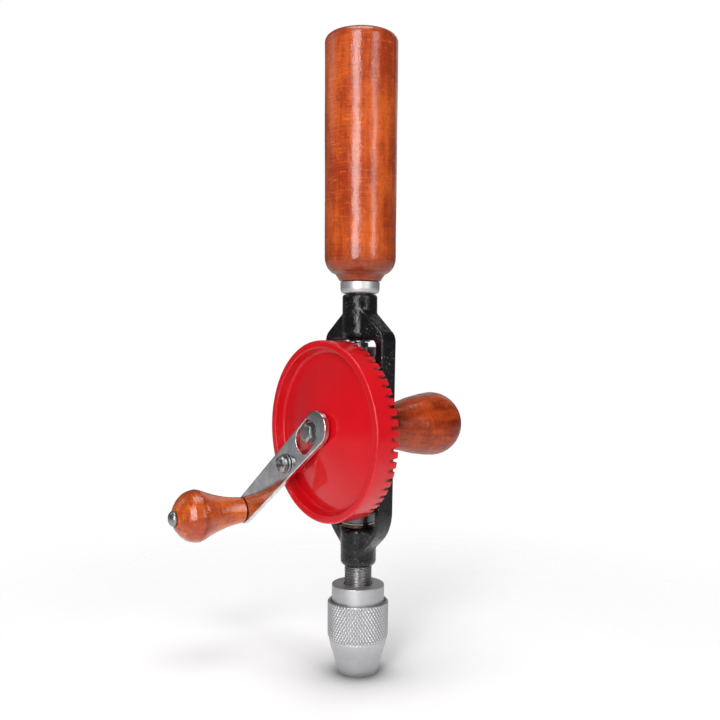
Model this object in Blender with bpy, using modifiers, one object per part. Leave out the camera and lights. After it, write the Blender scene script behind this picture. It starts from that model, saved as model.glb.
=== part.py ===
"""Hand drill with a bevel drive wheel, a front crank and a screw-closed three-jaw chuck.

The chuck nose is at z = 0, the spindle stands along +Z and the drive wheel faces -Y.
Sizes are given in millimetres and turned into metres by MM.
"""
import math

import bmesh
import bpy
from mathutils import Matrix, Vector

MM = 0.001
OBJECT_NAME = "hand_drill"

# Main heights along the spindle axis.
WHEEL_Z = 116.0
FRAME_BOTTOM = 51.5
WINDOW_BOTTOM = 70.0
WINDOW_TOP = 158.2
FRAME_TOP = 179.5
HANDLE_TOP = 301.4

# Frame casting.
RAIL_OUTER_X = 22.0
RAIL_OUTER_X_LOW = 20.3
WINDOW_HALF_X = 17.0
RAIL_HALF_Y = 4.25
EDGE_ROUND = 0.7
UPPER_BOSS_R = 8.1
LOWER_BOSS_R = 8.45
CROSS_BAR_HALF_Z = 7.0
CROSS_BOSS_R = 9.5
CROSS_BOSS_FRONT_Y = -9.0
CROSS_BOSS_BACK_Y = 9.5

# Bevel gears, sized where the wheel's teeth end.
WHEEL_TEETH = 56
PINION_TEETH = 16
WHEEL_R = 42.0
WHEEL_FRONT = 22.5
MODULE = 2.0 * WHEEL_R / WHEEL_TEETH
PRESSURE_ANGLE = math.radians(20.0)
ADDENDUM = 1.0 * MODULE
DEDENDUM = 1.27 * MODULE
FLANK_RELIEF = 0.09
WHEEL_TOOTH_INNER_R = 33.0
PINION_OUTER_END = 38.8
PINION_INNER_END = 30.3

# Crank and knob, measured from the wheel's axle.
CRANK_ANGLE = math.radians(180.0 + 37.0)
KNOB_RADIUS = 74.5
ARM_OFFSET = 1.1
ARM_HUB_END = -5.6
ARM_HUB_R = 7.9
ARM_KNOB_R = 6.5
ARM_SLOT_R = 6.1
SCREW_DISTANCE = 24.5
SCREW_OFFSET = 1.9
ARM_BACK = 26.5
ARM_THICKNESS = 2.5

# Chuck.
SLEEVE_R = 14.45
SLEEVE_TOP = 34.7
COLLAR_R = 12.4
COLLAR_TOP = 42.5
BODY_THREAD_R = 11.0
CONE_NOSE_R = 5.0
CONE_SLOPE = 0.38
CONE_TOP = 17.0
JAW_OPENING = 2.95
JAW_TRAVEL = 1.9
JAW_HALF_WIDTH = 3.1
JAW_BACK_OFFSET = 1.2
JAW_GAP = 0.35
JAW_SIDE_GAP = 0.3
JAW_BOTTOM = 0.9
JAW_TOP = 22.0
SPINDLE_THREAD_R = 6.45
SPINDLE_JOURNAL_R = 5.0

ROUND_STEPS = 28
FINE_STEPS = 32
SMALL_STEPS = 16

FRONT = (math.radians(90.0), 0.0, 0.0)
BACK = (math.radians(-90.0), 0.0, 0.0)
UPRIGHT = (0.0, 0.0, 0.0)


# ---------------------------------------------------------------- scene set-up

def clear_scene():
    for obj in list(bpy.data.objects):
        bpy.data.objects.remove(obj, do_unlink=True)


def make_collection(name):
    collection = bpy.data.collections.new(name)
    bpy.context.scene.collection.children.link(collection)
    return collection


def make_material(name, colour, roughness, metallic):
    material = bpy.data.materials.new(name)
    material.use_nodes = True
    shader = material.node_tree.nodes["Principled BSDF"]
    shader.inputs["Base Color"].default_value = (*colour, 1.0)
    shader.inputs["Roughness"].default_value = roughness
    shader.inputs["Metallic"].default_value = metallic
    material.diffuse_color = (*colour, 1.0)
    return material


clear_scene()
PARTS = make_collection(OBJECT_NAME)
CUTTERS = make_collection(OBJECT_NAME + "_cutters")

WOOD = make_material("varnished_wood", (0.46, 0.10, 0.025), 0.25, 0.0)
KNOB_WOOD = make_material("varnished_knob_wood", (0.60, 0.15, 0.03), 0.25, 0.0)
ENAMEL = make_material("red_enamel", (0.62, 0.012, 0.018), 0.18, 0.0)
BLACK = make_material("black_enamel", (0.012, 0.012, 0.014), 0.22, 0.0)
POLISHED = make_material("polished_steel", (0.62, 0.62, 0.64), 0.18, 1.0)
SCREW_STEEL = make_material("screw_steel", (0.42, 0.42, 0.43), 0.3, 1.0)
GEAR_STEEL = make_material("gear_steel", (0.33, 0.33, 0.34), 0.38, 1.0)
DARK_STEEL = make_material("dark_steel", (0.12, 0.12, 0.125), 0.35, 1.0)
ALUMINIUM = make_material("aluminium", (0.72, 0.72, 0.73), 0.32, 1.0)
CHUCK_STEEL = make_material("satin_chuck_steel", (0.52, 0.52, 0.53), 0.36, 1.0)
BRONZE = make_material("bearing_bronze", (0.50, 0.30, 0.12), 0.35, 1.0)


# ---------------------------------------------------------------- shape helpers

def add_object(name, mesh, material, location=(0.0, 0.0, 0.0), rotation=UPRIGHT):
    obj = bpy.data.objects.new(name, mesh)
    PARTS.objects.link(obj)
    obj.location = [value * MM for value in location]
    obj.rotation_euler = rotation
    if material is not None:
        mesh.materials.append(material)
    return obj


def hide_as_cutter(obj):
    for collection in list(obj.users_collection):
        collection.objects.unlink(obj)
    CUTTERS.objects.link(obj)
    obj.hide_render = True
    obj.display_type = "WIRE"


def smooth(obj, angle=35.0):
    obj.data.shade_smooth()
    obj.data.set_sharp_from_angle(angle=math.radians(angle))


def turned(name, profile, material, location=(0.0, 0.0, 0.0), rotation=UPRIGHT, steps=ROUND_STEPS,
           closed=False):
    """Turn a profile of (radius, height) pairs, given from the top down the outer side."""
    mesh = bpy.data.meshes.new(name)
    points = [(radius * MM, 0.0, height * MM) for radius, height in profile]
    edges = [(index, index + 1) for index in range(len(points) - 1)]
    if closed:
        edges.append((len(points) - 1, 0))
    mesh.from_pydata(points, edges, [])
    obj = add_object(name, mesh, material, location, rotation)
    screw = obj.modifiers.new("turn", "SCREW")
    screw.steps = steps
    screw.render_steps = steps
    screw.use_merge_vertices = True
    screw.merge_threshold = 0.00001
    screw.use_smooth_shade = True
    return obj


def ring(name, outer_r, inner_r, low, high, material, location=(0.0, 0.0, 0.0), rotation=UPRIGHT,
         steps=SMALL_STEPS):
    profile = [(outer_r, high), (outer_r, low), (inner_r, low), (inner_r, high)]
    return turned(name, profile, material, location, rotation, steps, closed=True)


def rod(name, radius, low, high, material, location=(0.0, 0.0, 0.0), rotation=UPRIGHT,
        steps=SMALL_STEPS, chamfer=0.3):
    profile = [
        (0.0, high),
        (radius - chamfer, high),
        (radius, high - chamfer),
        (radius, low + chamfer),
        (radius - chamfer, low),
        (0.0, low),
    ]
    return turned(name, profile, material, location, rotation, steps)


def cylinder_cutter(name, radius, low, high, location=(0.0, 0.0, 0.0), rotation=UPRIGHT,
                    steps=ROUND_STEPS):
    mesh = bpy.data.meshes.new(name)
    shape = bmesh.new()
    bmesh.ops.create_cone(
        shape, cap_ends=True, segments=steps, radius1=radius * MM, radius2=radius * MM,
        depth=(high - low) * MM,
        matrix=Matrix.Translation((0.0, 0.0, (high + low) / 2 * MM)),
    )
    shape.to_mesh(mesh)
    shape.free()
    obj = add_object(name, mesh, None, location, rotation)
    hide_as_cutter(obj)
    return obj


def box_cutter(name, size, location, rotation=UPRIGHT):
    mesh = bpy.data.meshes.new(name)
    shape = bmesh.new()
    bmesh.ops.create_cube(shape, size=1.0)
    bmesh.ops.scale(shape, vec=Vector(size) * MM, verts=shape.verts)
    shape.to_mesh(mesh)
    shape.free()
    obj = add_object(name, mesh, None, location, rotation)
    hide_as_cutter(obj)
    return obj


def combine(target, tool, operation):
    boolean = target.modifiers.new(operation.lower() + "_" + tool.name, "BOOLEAN")
    boolean.operation = operation
    boolean.solver = "EXACT"
    boolean.object = tool
    if tool.name not in CUTTERS.objects:
        hide_as_cutter(tool)


def cut(target, tool):
    combine(target, tool, "DIFFERENCE")


def join(target, tool):
    combine(target, tool, "UNION")


def ellipse_points(centre, radii, start, end, count):
    """Points of an ellipse's arc from angle start to angle end, both included, in degrees."""
    points = []
    for index in range(count + 1):
        angle = math.radians(start + (end - start) * index / count)
        points.append((
            centre[0] + radii[0] * math.cos(angle),
            centre[1] + radii[1] * math.sin(angle),
        ))
    return points


def arc_points(centre, radius, start, end, count):
    return ellipse_points(centre, (radius, radius), start, end, count)


def rounded_outline(corners, count=3):
    """Round each corner (x, y, radius) of a closed polygon with an arc."""
    points = []
    total = len(corners)
    for index, (x, y, radius) in enumerate(corners):
        corner = Vector((x, y))
        before = (Vector(corners[index - 1][:2]) - corner).normalized()
        after = (Vector(corners[(index + 1) % total][:2]) - corner).normalized()
        half_angle = before.angle(after) / 2
        reach = radius / math.tan(half_angle)
        start = corner + before * reach
        finish = corner + after * reach
        middle = corner + (before + after).normalized() * radius / math.sin(half_angle)
        first = start - middle
        sweep = first.angle_signed(finish - middle)
        for step in range(count + 1):
            turn = Matrix.Rotation(-sweep * step / count, 2)
            points.append(tuple(middle + turn @ first))
    return points


def flat_plate(name, outlines, half_thickness, edge, material, location, rotation):
    """A flat plate from closed outlines; the later outlines are holes in the first."""
    curve = bpy.data.curves.new(name + "_outline", "CURVE")
    curve.dimensions = "2D"
    curve.fill_mode = "BOTH"
    curve.extrude = (half_thickness - edge) * MM
    curve.bevel_depth = edge * MM
    curve.bevel_resolution = 0
    curve.offset = -edge * MM
    for outline in outlines:
        spline = curve.splines.new("POLY")
        spline.points.add(len(outline) - 1)
        for point, (x, y) in zip(spline.points, outline):
            point.co = (x * MM, y * MM, 0.0, 1.0)
        spline.use_cyclic_u = True
    guide = bpy.data.objects.new(name + "_guide", curve)
    PARTS.objects.link(guide)
    guide.location = [value * MM for value in location]
    guide.rotation_euler = rotation
    bpy.context.view_layer.update()
    evaluated = guide.evaluated_get(bpy.context.evaluated_depsgraph_get())
    mesh = bpy.data.meshes.new_from_object(evaluated)
    shape = bmesh.new()
    shape.from_mesh(mesh)
    bmesh.ops.remove_doubles(shape, verts=shape.verts, dist=0.000005)
    bmesh.ops.recalc_face_normals(shape, faces=shape.faces)
    shape.to_mesh(mesh)
    shape.free()
    mesh.materials.clear()
    obj = bpy.data.objects.new(name, mesh)
    PARTS.objects.link(obj)
    obj.matrix_world = guide.matrix_world
    if material is not None:
        mesh.materials.append(material)
    bpy.data.objects.remove(guide)
    return obj


def circle_outline(centre, radius, count=SMALL_STEPS):
    return arc_points(centre, radius, 0.0, 360.0 * (count - 1) / count, count - 1)


def crank_point(distance, offset=0.0):
    """A point beside the line from axle to knob pin, seen from the front from the axle."""
    along = (math.cos(CRANK_ANGLE), math.sin(CRANK_ANGLE))
    return (
        distance * along[0] - offset * along[1],
        distance * along[1] + offset * along[0],
    )


# ---------------------------------------------------------------- bevel gears

def involute(angle):
    return math.tan(angle) - angle


def tooth_columns(teeth, mate_teeth, levels, phase):
    """Tooth surface columns as (angle, radius, distance from the apex along the gear's axis)."""
    cone_angle = math.atan2(teeth, mate_teeth)
    pitch_r = MODULE * teeth / 2
    pitch_axial = MODULE * mate_teeth / 2
    flat_r = pitch_r / math.cos(cone_angle)
    half_at_pitch = math.pi * MODULE / 4 - FLANK_RELIEF
    base_r = flat_r * math.cos(PRESSURE_ANGLE)

    def half_width(level):
        rho = flat_r + level
        local_angle = math.acos(min(1.0, base_r / rho))
        half_angle = half_at_pitch / flat_r + involute(PRESSURE_ANGLE) - involute(local_angle)
        return rho * half_angle

    columns = []
    for tooth in range(teeth):
        middle = phase + 2 * math.pi * tooth / teeth
        for side, order in ((-1, levels), (1, tuple(reversed(levels)))):
            for level in order:
                radius = pitch_r + level * math.cos(cone_angle)
                axial = pitch_axial - level * math.sin(cone_angle)
                columns.append((middle + side * half_width(level) / radius, radius, axial))
    return columns


def lofted_ring(name, sections, material, location, rotation):
    """Join equal closed sections, one at each angle about the local Z axis, into one ring."""
    mesh = bpy.data.meshes.new(name)
    shape = bmesh.new()
    rows = []
    for angle, section in sections:
        row = []
        for radius, height in section:
            x = radius * math.cos(angle) * MM
            y = radius * math.sin(angle) * MM
            row.append(shape.verts.new((x, y, height * MM)))
        rows.append(row)
    count = len(rows[0])
    for index, row in enumerate(rows):
        following = rows[(index + 1) % len(rows)]
        for corner in range(count):
            after = (corner + 1) % count
            shape.faces.new((row[corner], following[corner], following[after], row[after]))
    bmesh.ops.recalc_face_normals(shape, faces=shape.faces)
    shape.to_mesh(mesh)
    shape.free()
    obj = add_object(name, mesh, material, location, rotation)
    smooth(obj, 30.0)
    return obj


def make_pinion(name, upward, hub_profile, bore_r):
    """A pinion whose apex is at the wheel's centre; upward puts it above the wheel's axle."""
    direction = 1.0 if upward else -1.0
    levels = (-DEDENDUM, ADDENDUM)
    sections = []
    for angle, radius, axial in tooth_columns(PINION_TEETH, WHEEL_TEETH, levels, -math.pi / 2):
        large = PINION_OUTER_END / axial
        small = PINION_INNER_END / axial
        section = [
            (radius * small, direction * PINION_INNER_END),
            (radius * large, direction * PINION_OUTER_END),
        ]
        section += [(hub_r, direction * height) for hub_r, height in hub_profile]
        section += [(bore_r, direction * hub_profile[-1][1]), (bore_r, direction * PINION_INNER_END)]
        sections.append((angle, section))
    return lofted_ring(name, sections, GEAR_STEEL, (0.0, 0.0, WHEEL_Z), UPRIGHT)


# ---------------------------------------------------------------- frame and grips

def make_frame():
    shoulder_x = 9.3
    outer = [
        (RAIL_OUTER_X, 160.3, 5.0),
        (shoulder_x, 170.0, 3.0),
        (7.2, 177.0, 1.5),
        (-7.2, 177.0, 1.5),
        (-shoulder_x, 170.0, 3.0),
        (-RAIL_OUTER_X, 160.3, 5.0),
        (-RAIL_OUTER_X_LOW, 70.2, 7.0),
        (-8.8, 60.6, 4.0),
        (-7.2, 54.0, 1.5),
        (7.2, 54.0, 1.5),
        (8.8, 60.6, 4.0),
        (RAIL_OUTER_X_LOW, 70.2, 7.0),
    ]
    window = [
        (WINDOW_HALF_X, WINDOW_TOP, 2.6),
        (-WINDOW_HALF_X, WINDOW_TOP, 2.6),
        (-WINDOW_HALF_X + 0.5, WINDOW_BOTTOM, 4.0),
        (WINDOW_HALF_X - 0.5, WINDOW_BOTTOM, 4.0),
    ]
    frame = flat_plate(
        "frame_casting", [rounded_outline(outer), rounded_outline(window)], RAIL_HALF_Y,
        EDGE_ROUND, BLACK, (0.0, 0.0, 0.0), FRONT,
    )
    upper_boss = turned("upper_boss", [
        (0.0, FRAME_TOP),
        (UPPER_BOSS_R - 0.5, FRAME_TOP),
        (UPPER_BOSS_R, FRAME_TOP - 0.5),
        (UPPER_BOSS_R, 163.5),
        (UPPER_BOSS_R - 1.6, WINDOW_TOP + 0.4),
        (0.0, WINDOW_TOP + 0.4),
    ], BLACK)
    lower_boss = turned("lower_boss", [
        (0.0, WINDOW_BOTTOM - 0.4),
        (LOWER_BOSS_R, WINDOW_BOTTOM - 0.4),
        (LOWER_BOSS_R, FRAME_BOTTOM + 0.9),
        (LOWER_BOSS_R - 0.9, FRAME_BOTTOM),
        (0.0, FRAME_BOTTOM),
    ], BLACK)
    bar = box_cutter(
        "cross_bar", (2 * WINDOW_HALF_X + 3.0, 2 * RAIL_HALF_Y - 1.0, 2 * CROSS_BAR_HALF_Z),
        (0.0, 0.0, WHEEL_Z),
    )
    boss = cylinder_cutter(
        "cross_boss", CROSS_BOSS_R, -CROSS_BOSS_BACK_Y, -CROSS_BOSS_FRONT_Y,
        (0.0, 0.0, WHEEL_Z), FRONT,
    )
    for piece in (upper_boss, lower_boss, bar, boss):
        join(frame, piece)
    cut(frame, cylinder_cutter("idler_pin_bore", 2.8, WINDOW_TOP - 1.0, 169.0, steps=SMALL_STEPS))
    cut(frame, cylinder_cutter("tang_bore", 4.3, 168.4, FRAME_TOP + 1.0, steps=SMALL_STEPS))
    cut(frame, cylinder_cutter("spindle_bore", 6.5, FRAME_BOTTOM - 1.0, WINDOW_BOTTOM + 1.0))
    axle_place = (0.0, 0.0, WHEEL_Z)
    cut(frame, cylinder_cutter("axle_bore", 3.3, -12.0, 12.0, axle_place, FRONT, SMALL_STEPS))
    smooth(frame)


def make_main_handle():
    neck_r = 8.3
    profile = [(0.0, HANDLE_TOP), (8.0, HANDLE_TOP)]
    profile += ellipse_points((11.2, 296.6), (6.0, 4.4), 80.0, 0.0, 5)
    profile += ellipse_points((10.5, 197.0), (6.2, 8.0), 0.0, -82.0, 5)
    profile += [
        (10.3, 187.3),
        (9.6, 185.7),
        (neck_r, 185.6),
        (neck_r, 181.0),
        (4.3, 181.0),
        (4.3, 246.0),
        (0.0, 248.0),
    ]
    turned("main_handle", profile, WOOD, steps=FINE_STEPS)


def make_handle_ferrule():
    profile = [
        (9.25, 185.3),
        (9.25, 182.2),
        (8.95, 180.6),
        (8.2, 179.8),
        (5.2, 179.8),
        (5.2, 180.5),
        (7.9, 180.5),
        (8.6, 181.2),
        (8.6, 185.3),
    ]
    turned("handle_ferrule", profile, ALUMINIUM, steps=FINE_STEPS, closed=True)


def make_handle_tang():
    rod("handle_tang", 4.0, 169.0, 244.5, SCREW_STEEL, chamfer=0.8)


def make_side_handle():
    origin = (0.0, 0.0, WHEEL_Z)
    profile = [(0.0, 59.8), (2.0, 59.75)]
    profile += ellipse_points((2.0, 45.0), (13.8, 14.7), 78.0, 0.0, 5)
    profile += [
        (15.2, 39.5),
        (14.1, 32.5),
        (12.2, 25.0),
        (10.6, 18.0),
        (9.8, 13.0),
        (9.2, 11.1),
        (3.3, 11.1),
        (3.3, 45.5),
        (0.0, 47.0),
    ]
    turned("side_handle", profile, WOOD, origin, BACK, FINE_STEPS)
    rod("side_handle_stud", 3.0, 0.6, 44.5, SCREW_STEEL, origin, BACK)
    ring("side_handle_washer", 8.9, 3.3, 9.8, 10.8, SCREW_STEEL, origin, BACK)


# ---------------------------------------------------------------- wheel, crank and knob

def make_drive_wheel():
    levels = (-DEDENDUM, ADDENDUM)
    phase = math.pi / WHEEL_TEETH
    sections = []
    for angle, radius, axial in tooth_columns(WHEEL_TEETH, PINION_TEETH, levels, phase):
        outer = WHEEL_R / radius
        inner = WHEEL_TOOTH_INNER_R / radius
        sections.append((angle, [
            (WHEEL_R, axial * outer),
            (WHEEL_R, WHEEL_FRONT),
            (38.4, WHEEL_FRONT),
            (36.2, 18.0),
            (WHEEL_TOOTH_INNER_R, axial * inner),
        ]))
    origin = (0.0, 0.0, WHEEL_Z)
    wheel = lofted_ring("drive_wheel", sections, ENAMEL, origin, FRONT)
    web = turned("wheel_web", [
        (5.3, 26.2),
        (7.3, 26.2),
        (7.6, 25.9),
        (8.2, 25.3),
        (35.0, 17.9),
        (35.0, 15.0),
        (11.0, 20.6),
        (9.4, 19.4),
        (9.0, 9.3),
        (5.3, 9.3),
    ], ENAMEL, origin, FRONT, ROUND_STEPS, closed=True)
    screw_x, screw_y = crank_point(SCREW_DISTANCE, SCREW_OFFSET)
    pad_place = (screw_x, 0.0, WHEEL_Z + screw_y)
    pad = cylinder_cutter("screw_pad", 4.6, 18.9, 26.2, pad_place, FRONT, SMALL_STEPS)
    join(wheel, web)
    join(wheel, pad)
    cut(wheel, cylinder_cutter("screw_bore", 2.3, 12.0, 30.0, pad_place, FRONT, SMALL_STEPS))
    smooth(wheel, 30.0)
    ring("wheel_hub_bush", 5.0, 3.5, 9.3, 26.2, BRONZE, origin, FRONT)


def make_axle():
    origin = (0.0, 0.0, WHEEL_Z)
    shank = [(3.2, 27.2), (3.2, 8.9), (3.0, 8.6), (3.0, 0.9), (2.6, 0.5), (0.0, 0.5)]
    head = [(0.0, 31.4), (2.4, 31.4), (3.8, 31.0), (4.4, 30.2), (4.4, 27.8), (4.0, 27.8)]
    bolt = turned("axle_bolt", head + shank, SCREW_STEEL, origin, FRONT, SMALL_STEPS)
    slot = box_cutter("axle_bolt_slot", (1.1, 2.0, 12.0), (0.0, -31.2, WHEEL_Z))
    cut(bolt, slot)
    ring("axle_washer", 5.5, 3.5, 26.5, 27.4, POLISHED, origin, FRONT)


def make_crank_arm():
    """The strip from beyond the axle out to the knob pin, with an oblong hole round the axle."""
    tilt = math.degrees(math.asin((ARM_HUB_R - ARM_KNOB_R) / (KNOB_RADIUS - ARM_HUB_END)))
    angle = math.degrees(CRANK_ANGLE)
    hub_centre = crank_point(ARM_HUB_END, ARM_OFFSET)
    knob_centre = crank_point(KNOB_RADIUS, ARM_OFFSET / 2)
    outline = arc_points(hub_centre, ARM_HUB_R, angle + 90.0 - tilt, angle + 270.0 + tilt, 16)
    outline += arc_points(knob_centre, ARM_KNOB_R, angle - 90.0 + tilt, angle + 90.0 - tilt, 14)
    slot = arc_points(crank_point(0.0), ARM_SLOT_R, angle + 90.0, angle + 270.0, 12)
    slot += arc_points(crank_point(6.0, 0.6), ARM_SLOT_R, angle - 90.0, angle + 90.0, 12)
    holes = [
        slot,
        circle_outline(crank_point(SCREW_DISTANCE, SCREW_OFFSET), 2.4),
        circle_outline(crank_point(KNOB_RADIUS), 2.9),
    ]
    half = ARM_THICKNESS / 2
    middle = (0.0, -(ARM_BACK + half), WHEEL_Z)
    arm = flat_plate("crank_arm", [outline] + holes, half, 0.25, POLISHED, middle, FRONT)
    smooth(arm)


def make_crank_screw():
    """The slotted screw that fastens the strip to the wheel's pad."""
    screw_x, screw_y = crank_point(SCREW_DISTANCE, SCREW_OFFSET)
    screw_place = (screw_x, 0.0, WHEEL_Z + screw_y)
    ring("crank_screw_washer", 4.7, 2.4, 29.3, 30.1, SCREW_STEEL, screw_place, FRONT)
    screw = turned("crank_screw", [
        (0.0, 33.4),
        (2.6, 33.4),
        (3.5, 32.9),
        (3.8, 32.2),
        (3.8, 30.4),
        (2.0, 30.4),
        (2.0, 16.0),
        (1.6, 15.6),
        (0.0, 15.6),
    ], SCREW_STEEL, screw_place, FRONT, SMALL_STEPS)
    slot_place = (screw_x, -33.2, WHEEL_Z + screw_y)
    cut(screw, box_cutter("crank_screw_slot", (10.0, 1.8, 1.0), slot_place))


def make_knob():
    """The turned knob and the riveted pin that it spins on."""
    knob_x, knob_y = crank_point(KNOB_RADIUS)
    knob_place = (knob_x, 0.0, WHEEL_Z + knob_y)
    profile = [(0.0, 69.2)]
    profile += ellipse_points((0.0, 66.8), (3.8, 2.4), 66.0, 0.0, 4)
    profile += [(2.6, 66.8), (2.6, 26.2), (4.6, 26.2), (4.6, 25.4), (4.0, 24.9), (0.0, 24.9)]
    turned("knob_pin", profile, SCREW_STEEL, knob_place, FRONT, SMALL_STEPS)
    profile = [
        (4.4, 66.3),
        (7.2, 64.6),
        (9.8, 62.4),
        (11.8, 59.8),
        (12.7, 57.0),
        (12.9, 54.8),
        (12.4, 52.8),
        (10.9, 49.2),
        (9.5, 45.4),
        (8.4, 41.6),
        (7.5, 38.0),
        (6.9, 34.0),
        (6.4, 29.4),
        (2.95, 29.4),
        (2.95, 66.3),
    ]
    turned("crank_knob", profile, KNOB_WOOD, knob_place, FRONT, ROUND_STEPS, closed=True)


# ---------------------------------------------------------------- spindle train

def make_idler():
    make_pinion("idler_pinion", True, [(4.1, PINION_OUTER_END), (4.1, 40.9)], 2.8)
    turned("idler_pin", [
        (0.0, 168.0),
        (2.1, 168.0),
        (2.5, 167.6),
        (2.5, 145.9),
        (4.4, 145.9),
        (4.4, 144.6),
        (3.8, 143.9),
        (0.0, 143.9),
    ], SCREW_STEEL, steps=SMALL_STEPS)
    ring("idler_washer", 4.9, 2.8, 157.2, 157.9, SCREW_STEEL)


def make_spindle():
    spindle = turned("spindle", [
        (0.0, 89.0),
        (SPINDLE_JOURNAL_R - 0.8, 89.0),
        (SPINDLE_JOURNAL_R, 88.2),
        (SPINDLE_JOURNAL_R, FRAME_BOTTOM - 0.3),
        (SPINDLE_THREAD_R, FRAME_BOTTOM - 0.3),
        (SPINDLE_THREAD_R, 27.0),
        (SPINDLE_THREAD_R - 0.7, 26.3),
        (0.0, 26.3),
    ], DARK_STEEL)
    pinion = make_pinion("drive_pinion", False, [(8.0, PINION_OUTER_END), (8.0, 43.6)], 5.3)
    pin_place = (0.0, 0.0, 74.8)
    across = (0.0, math.radians(90.0), 0.0)
    pin_bore = cylinder_cutter("cross_pin_bore", 1.55, -12.0, 12.0, pin_place, across, SMALL_STEPS)
    cut(spindle, pin_bore)
    cut(pinion, pin_bore)
    rod("pinion_cross_pin", 1.25, -7.6, 7.6, SCREW_STEEL, pin_place, across)
    turned("spindle_bush", [
        (8.0, 71.4),
        (8.0, 70.3),
        (6.2, 70.3),
        (6.2, FRAME_BOTTOM + 0.3),
        (5.3, FRAME_BOTTOM + 0.3),
        (5.3, 71.4),
    ], BRONZE, closed=True)
    ring("spindle_thrust_washer", 8.0, 5.3, 71.7, 72.1, POLISHED)


# ---------------------------------------------------------------- chuck

def cone_radius(height):
    return CONE_NOSE_R + CONE_SLOPE * (height - 1.0)


def make_chuck_body():
    turned("chuck_body", [
        (COLLAR_R - 0.5, COLLAR_TOP),
        (COLLAR_R, COLLAR_TOP - 0.5),
        (COLLAR_R, 33.6),
        (BODY_THREAD_R, 33.6),
        (BODY_THREAD_R, 22.9),
        (BODY_THREAD_R - 0.5, 22.4),
        (3.7, 22.4),
        (3.7, 26.0),
        (6.75, 26.0),
        (6.75, COLLAR_TOP),
    ], CHUCK_STEEL, steps=FINE_STEPS, closed=True)
    ring("sleeve_thrust_ring", 12.5, 11.4, 27.7, 28.3, SCREW_STEEL, steps=ROUND_STEPS)


def make_chuck_sleeve():
    turned("chuck_sleeve", [
        (SLEEVE_R - 0.7, SLEEVE_TOP),
        (SLEEVE_R, SLEEVE_TOP - 0.6),
        (SLEEVE_R, 18.9),
        (13.95, 16.9),
        (12.95, 13.1),
        (11.75, 9.3),
        (10.85, 5.4),
        (10.2, 2.4),
        (9.3, 0.8),
        (8.0, 0.0),
        (CONE_NOSE_R, 0.0),
        (CONE_NOSE_R, 1.0),
        (cone_radius(CONE_TOP), CONE_TOP),
        (11.35, 17.4),
        (11.35, 27.4),
        (12.8, 27.4),
        (12.8, SLEEVE_TOP - 0.4),
        (13.2, SLEEVE_TOP),
    ], CHUCK_STEEL, steps=FINE_STEPS, closed=True)


def make_jaw(index, angle):
    """One jaw: a wedge-tipped prism trimmed to a cone that backs onto the sleeve's cone."""
    name = "chuck_jaw_%d" % index
    slope = math.tan(math.radians(60.0))
    tip_half = slope * (JAW_OPENING - JAW_TRAVEL) - JAW_SIDE_GAP
    shoulder = (JAW_HALF_WIDTH + JAW_SIDE_GAP) / slope + JAW_TRAVEL
    outline = [
        (JAW_OPENING, -tip_half),
        (shoulder, -JAW_HALF_WIDTH),
        (12.0, -JAW_HALF_WIDTH),
        (12.0, JAW_HALF_WIDTH),
        (shoulder, JAW_HALF_WIDTH),
        (JAW_OPENING, tip_half),
    ]
    place = (0.0, 0.0, (JAW_BOTTOM + JAW_TOP) / 2)
    half = (JAW_TOP - JAW_BOTTOM) / 2
    jaw = flat_plate(name, [outline], half, 0.0, CHUCK_STEEL, place, (0.0, 0.0, angle))
    wedge_top = 16.0
    low_r, high_r = [
        cone_radius(height) - JAW_GAP - JAW_BACK_OFFSET for height in (JAW_BOTTOM, wedge_top)
    ]
    centre = (JAW_BACK_OFFSET * math.cos(angle), JAW_BACK_OFFSET * math.sin(angle), 0.0)
    trim = turned(name + "_trim", [
        (0.0, JAW_TOP + 1.0),
        (high_r, JAW_TOP + 1.0),
        (high_r, wedge_top),
        (low_r, JAW_BOTTOM),
        (low_r - 1.0, JAW_BOTTOM - 1.0),
        (0.0, JAW_BOTTOM - 1.0),
    ], None, centre)
    combine(jaw, trim, "INTERSECT")
    smooth(jaw)


def make_chuck():
    make_chuck_body()
    make_chuck_sleeve()
    for index in range(3):
        make_jaw(index + 1, math.radians(90.0 + 120.0 * index))


def main():
    make_frame()
    make_main_handle()
    make_handle_ferrule()
    make_handle_tang()
    make_side_handle()
    make_drive_wheel()
    make_axle()
    make_crank_arm()
    make_crank_screw()
    make_knob()
    make_idler()
    make_spindle()
    make_chuck()
    bpy.context.view_layer.update()


main()
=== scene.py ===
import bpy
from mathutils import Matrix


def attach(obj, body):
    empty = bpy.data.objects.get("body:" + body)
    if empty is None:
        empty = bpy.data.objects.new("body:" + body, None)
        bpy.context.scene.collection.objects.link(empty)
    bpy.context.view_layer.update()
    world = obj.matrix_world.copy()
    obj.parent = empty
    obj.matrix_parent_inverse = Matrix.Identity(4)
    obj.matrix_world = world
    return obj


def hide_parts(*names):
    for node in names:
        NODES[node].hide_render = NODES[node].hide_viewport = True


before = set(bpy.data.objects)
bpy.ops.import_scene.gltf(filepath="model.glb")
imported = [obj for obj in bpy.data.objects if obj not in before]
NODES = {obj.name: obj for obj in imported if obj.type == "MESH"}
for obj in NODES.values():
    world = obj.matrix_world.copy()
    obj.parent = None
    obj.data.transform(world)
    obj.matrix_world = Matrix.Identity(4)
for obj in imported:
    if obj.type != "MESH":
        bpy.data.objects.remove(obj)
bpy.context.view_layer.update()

import math

import bmesh
import bpy
import numpy as np
from mathutils import Matrix, Vector

MM = 0.001

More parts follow.
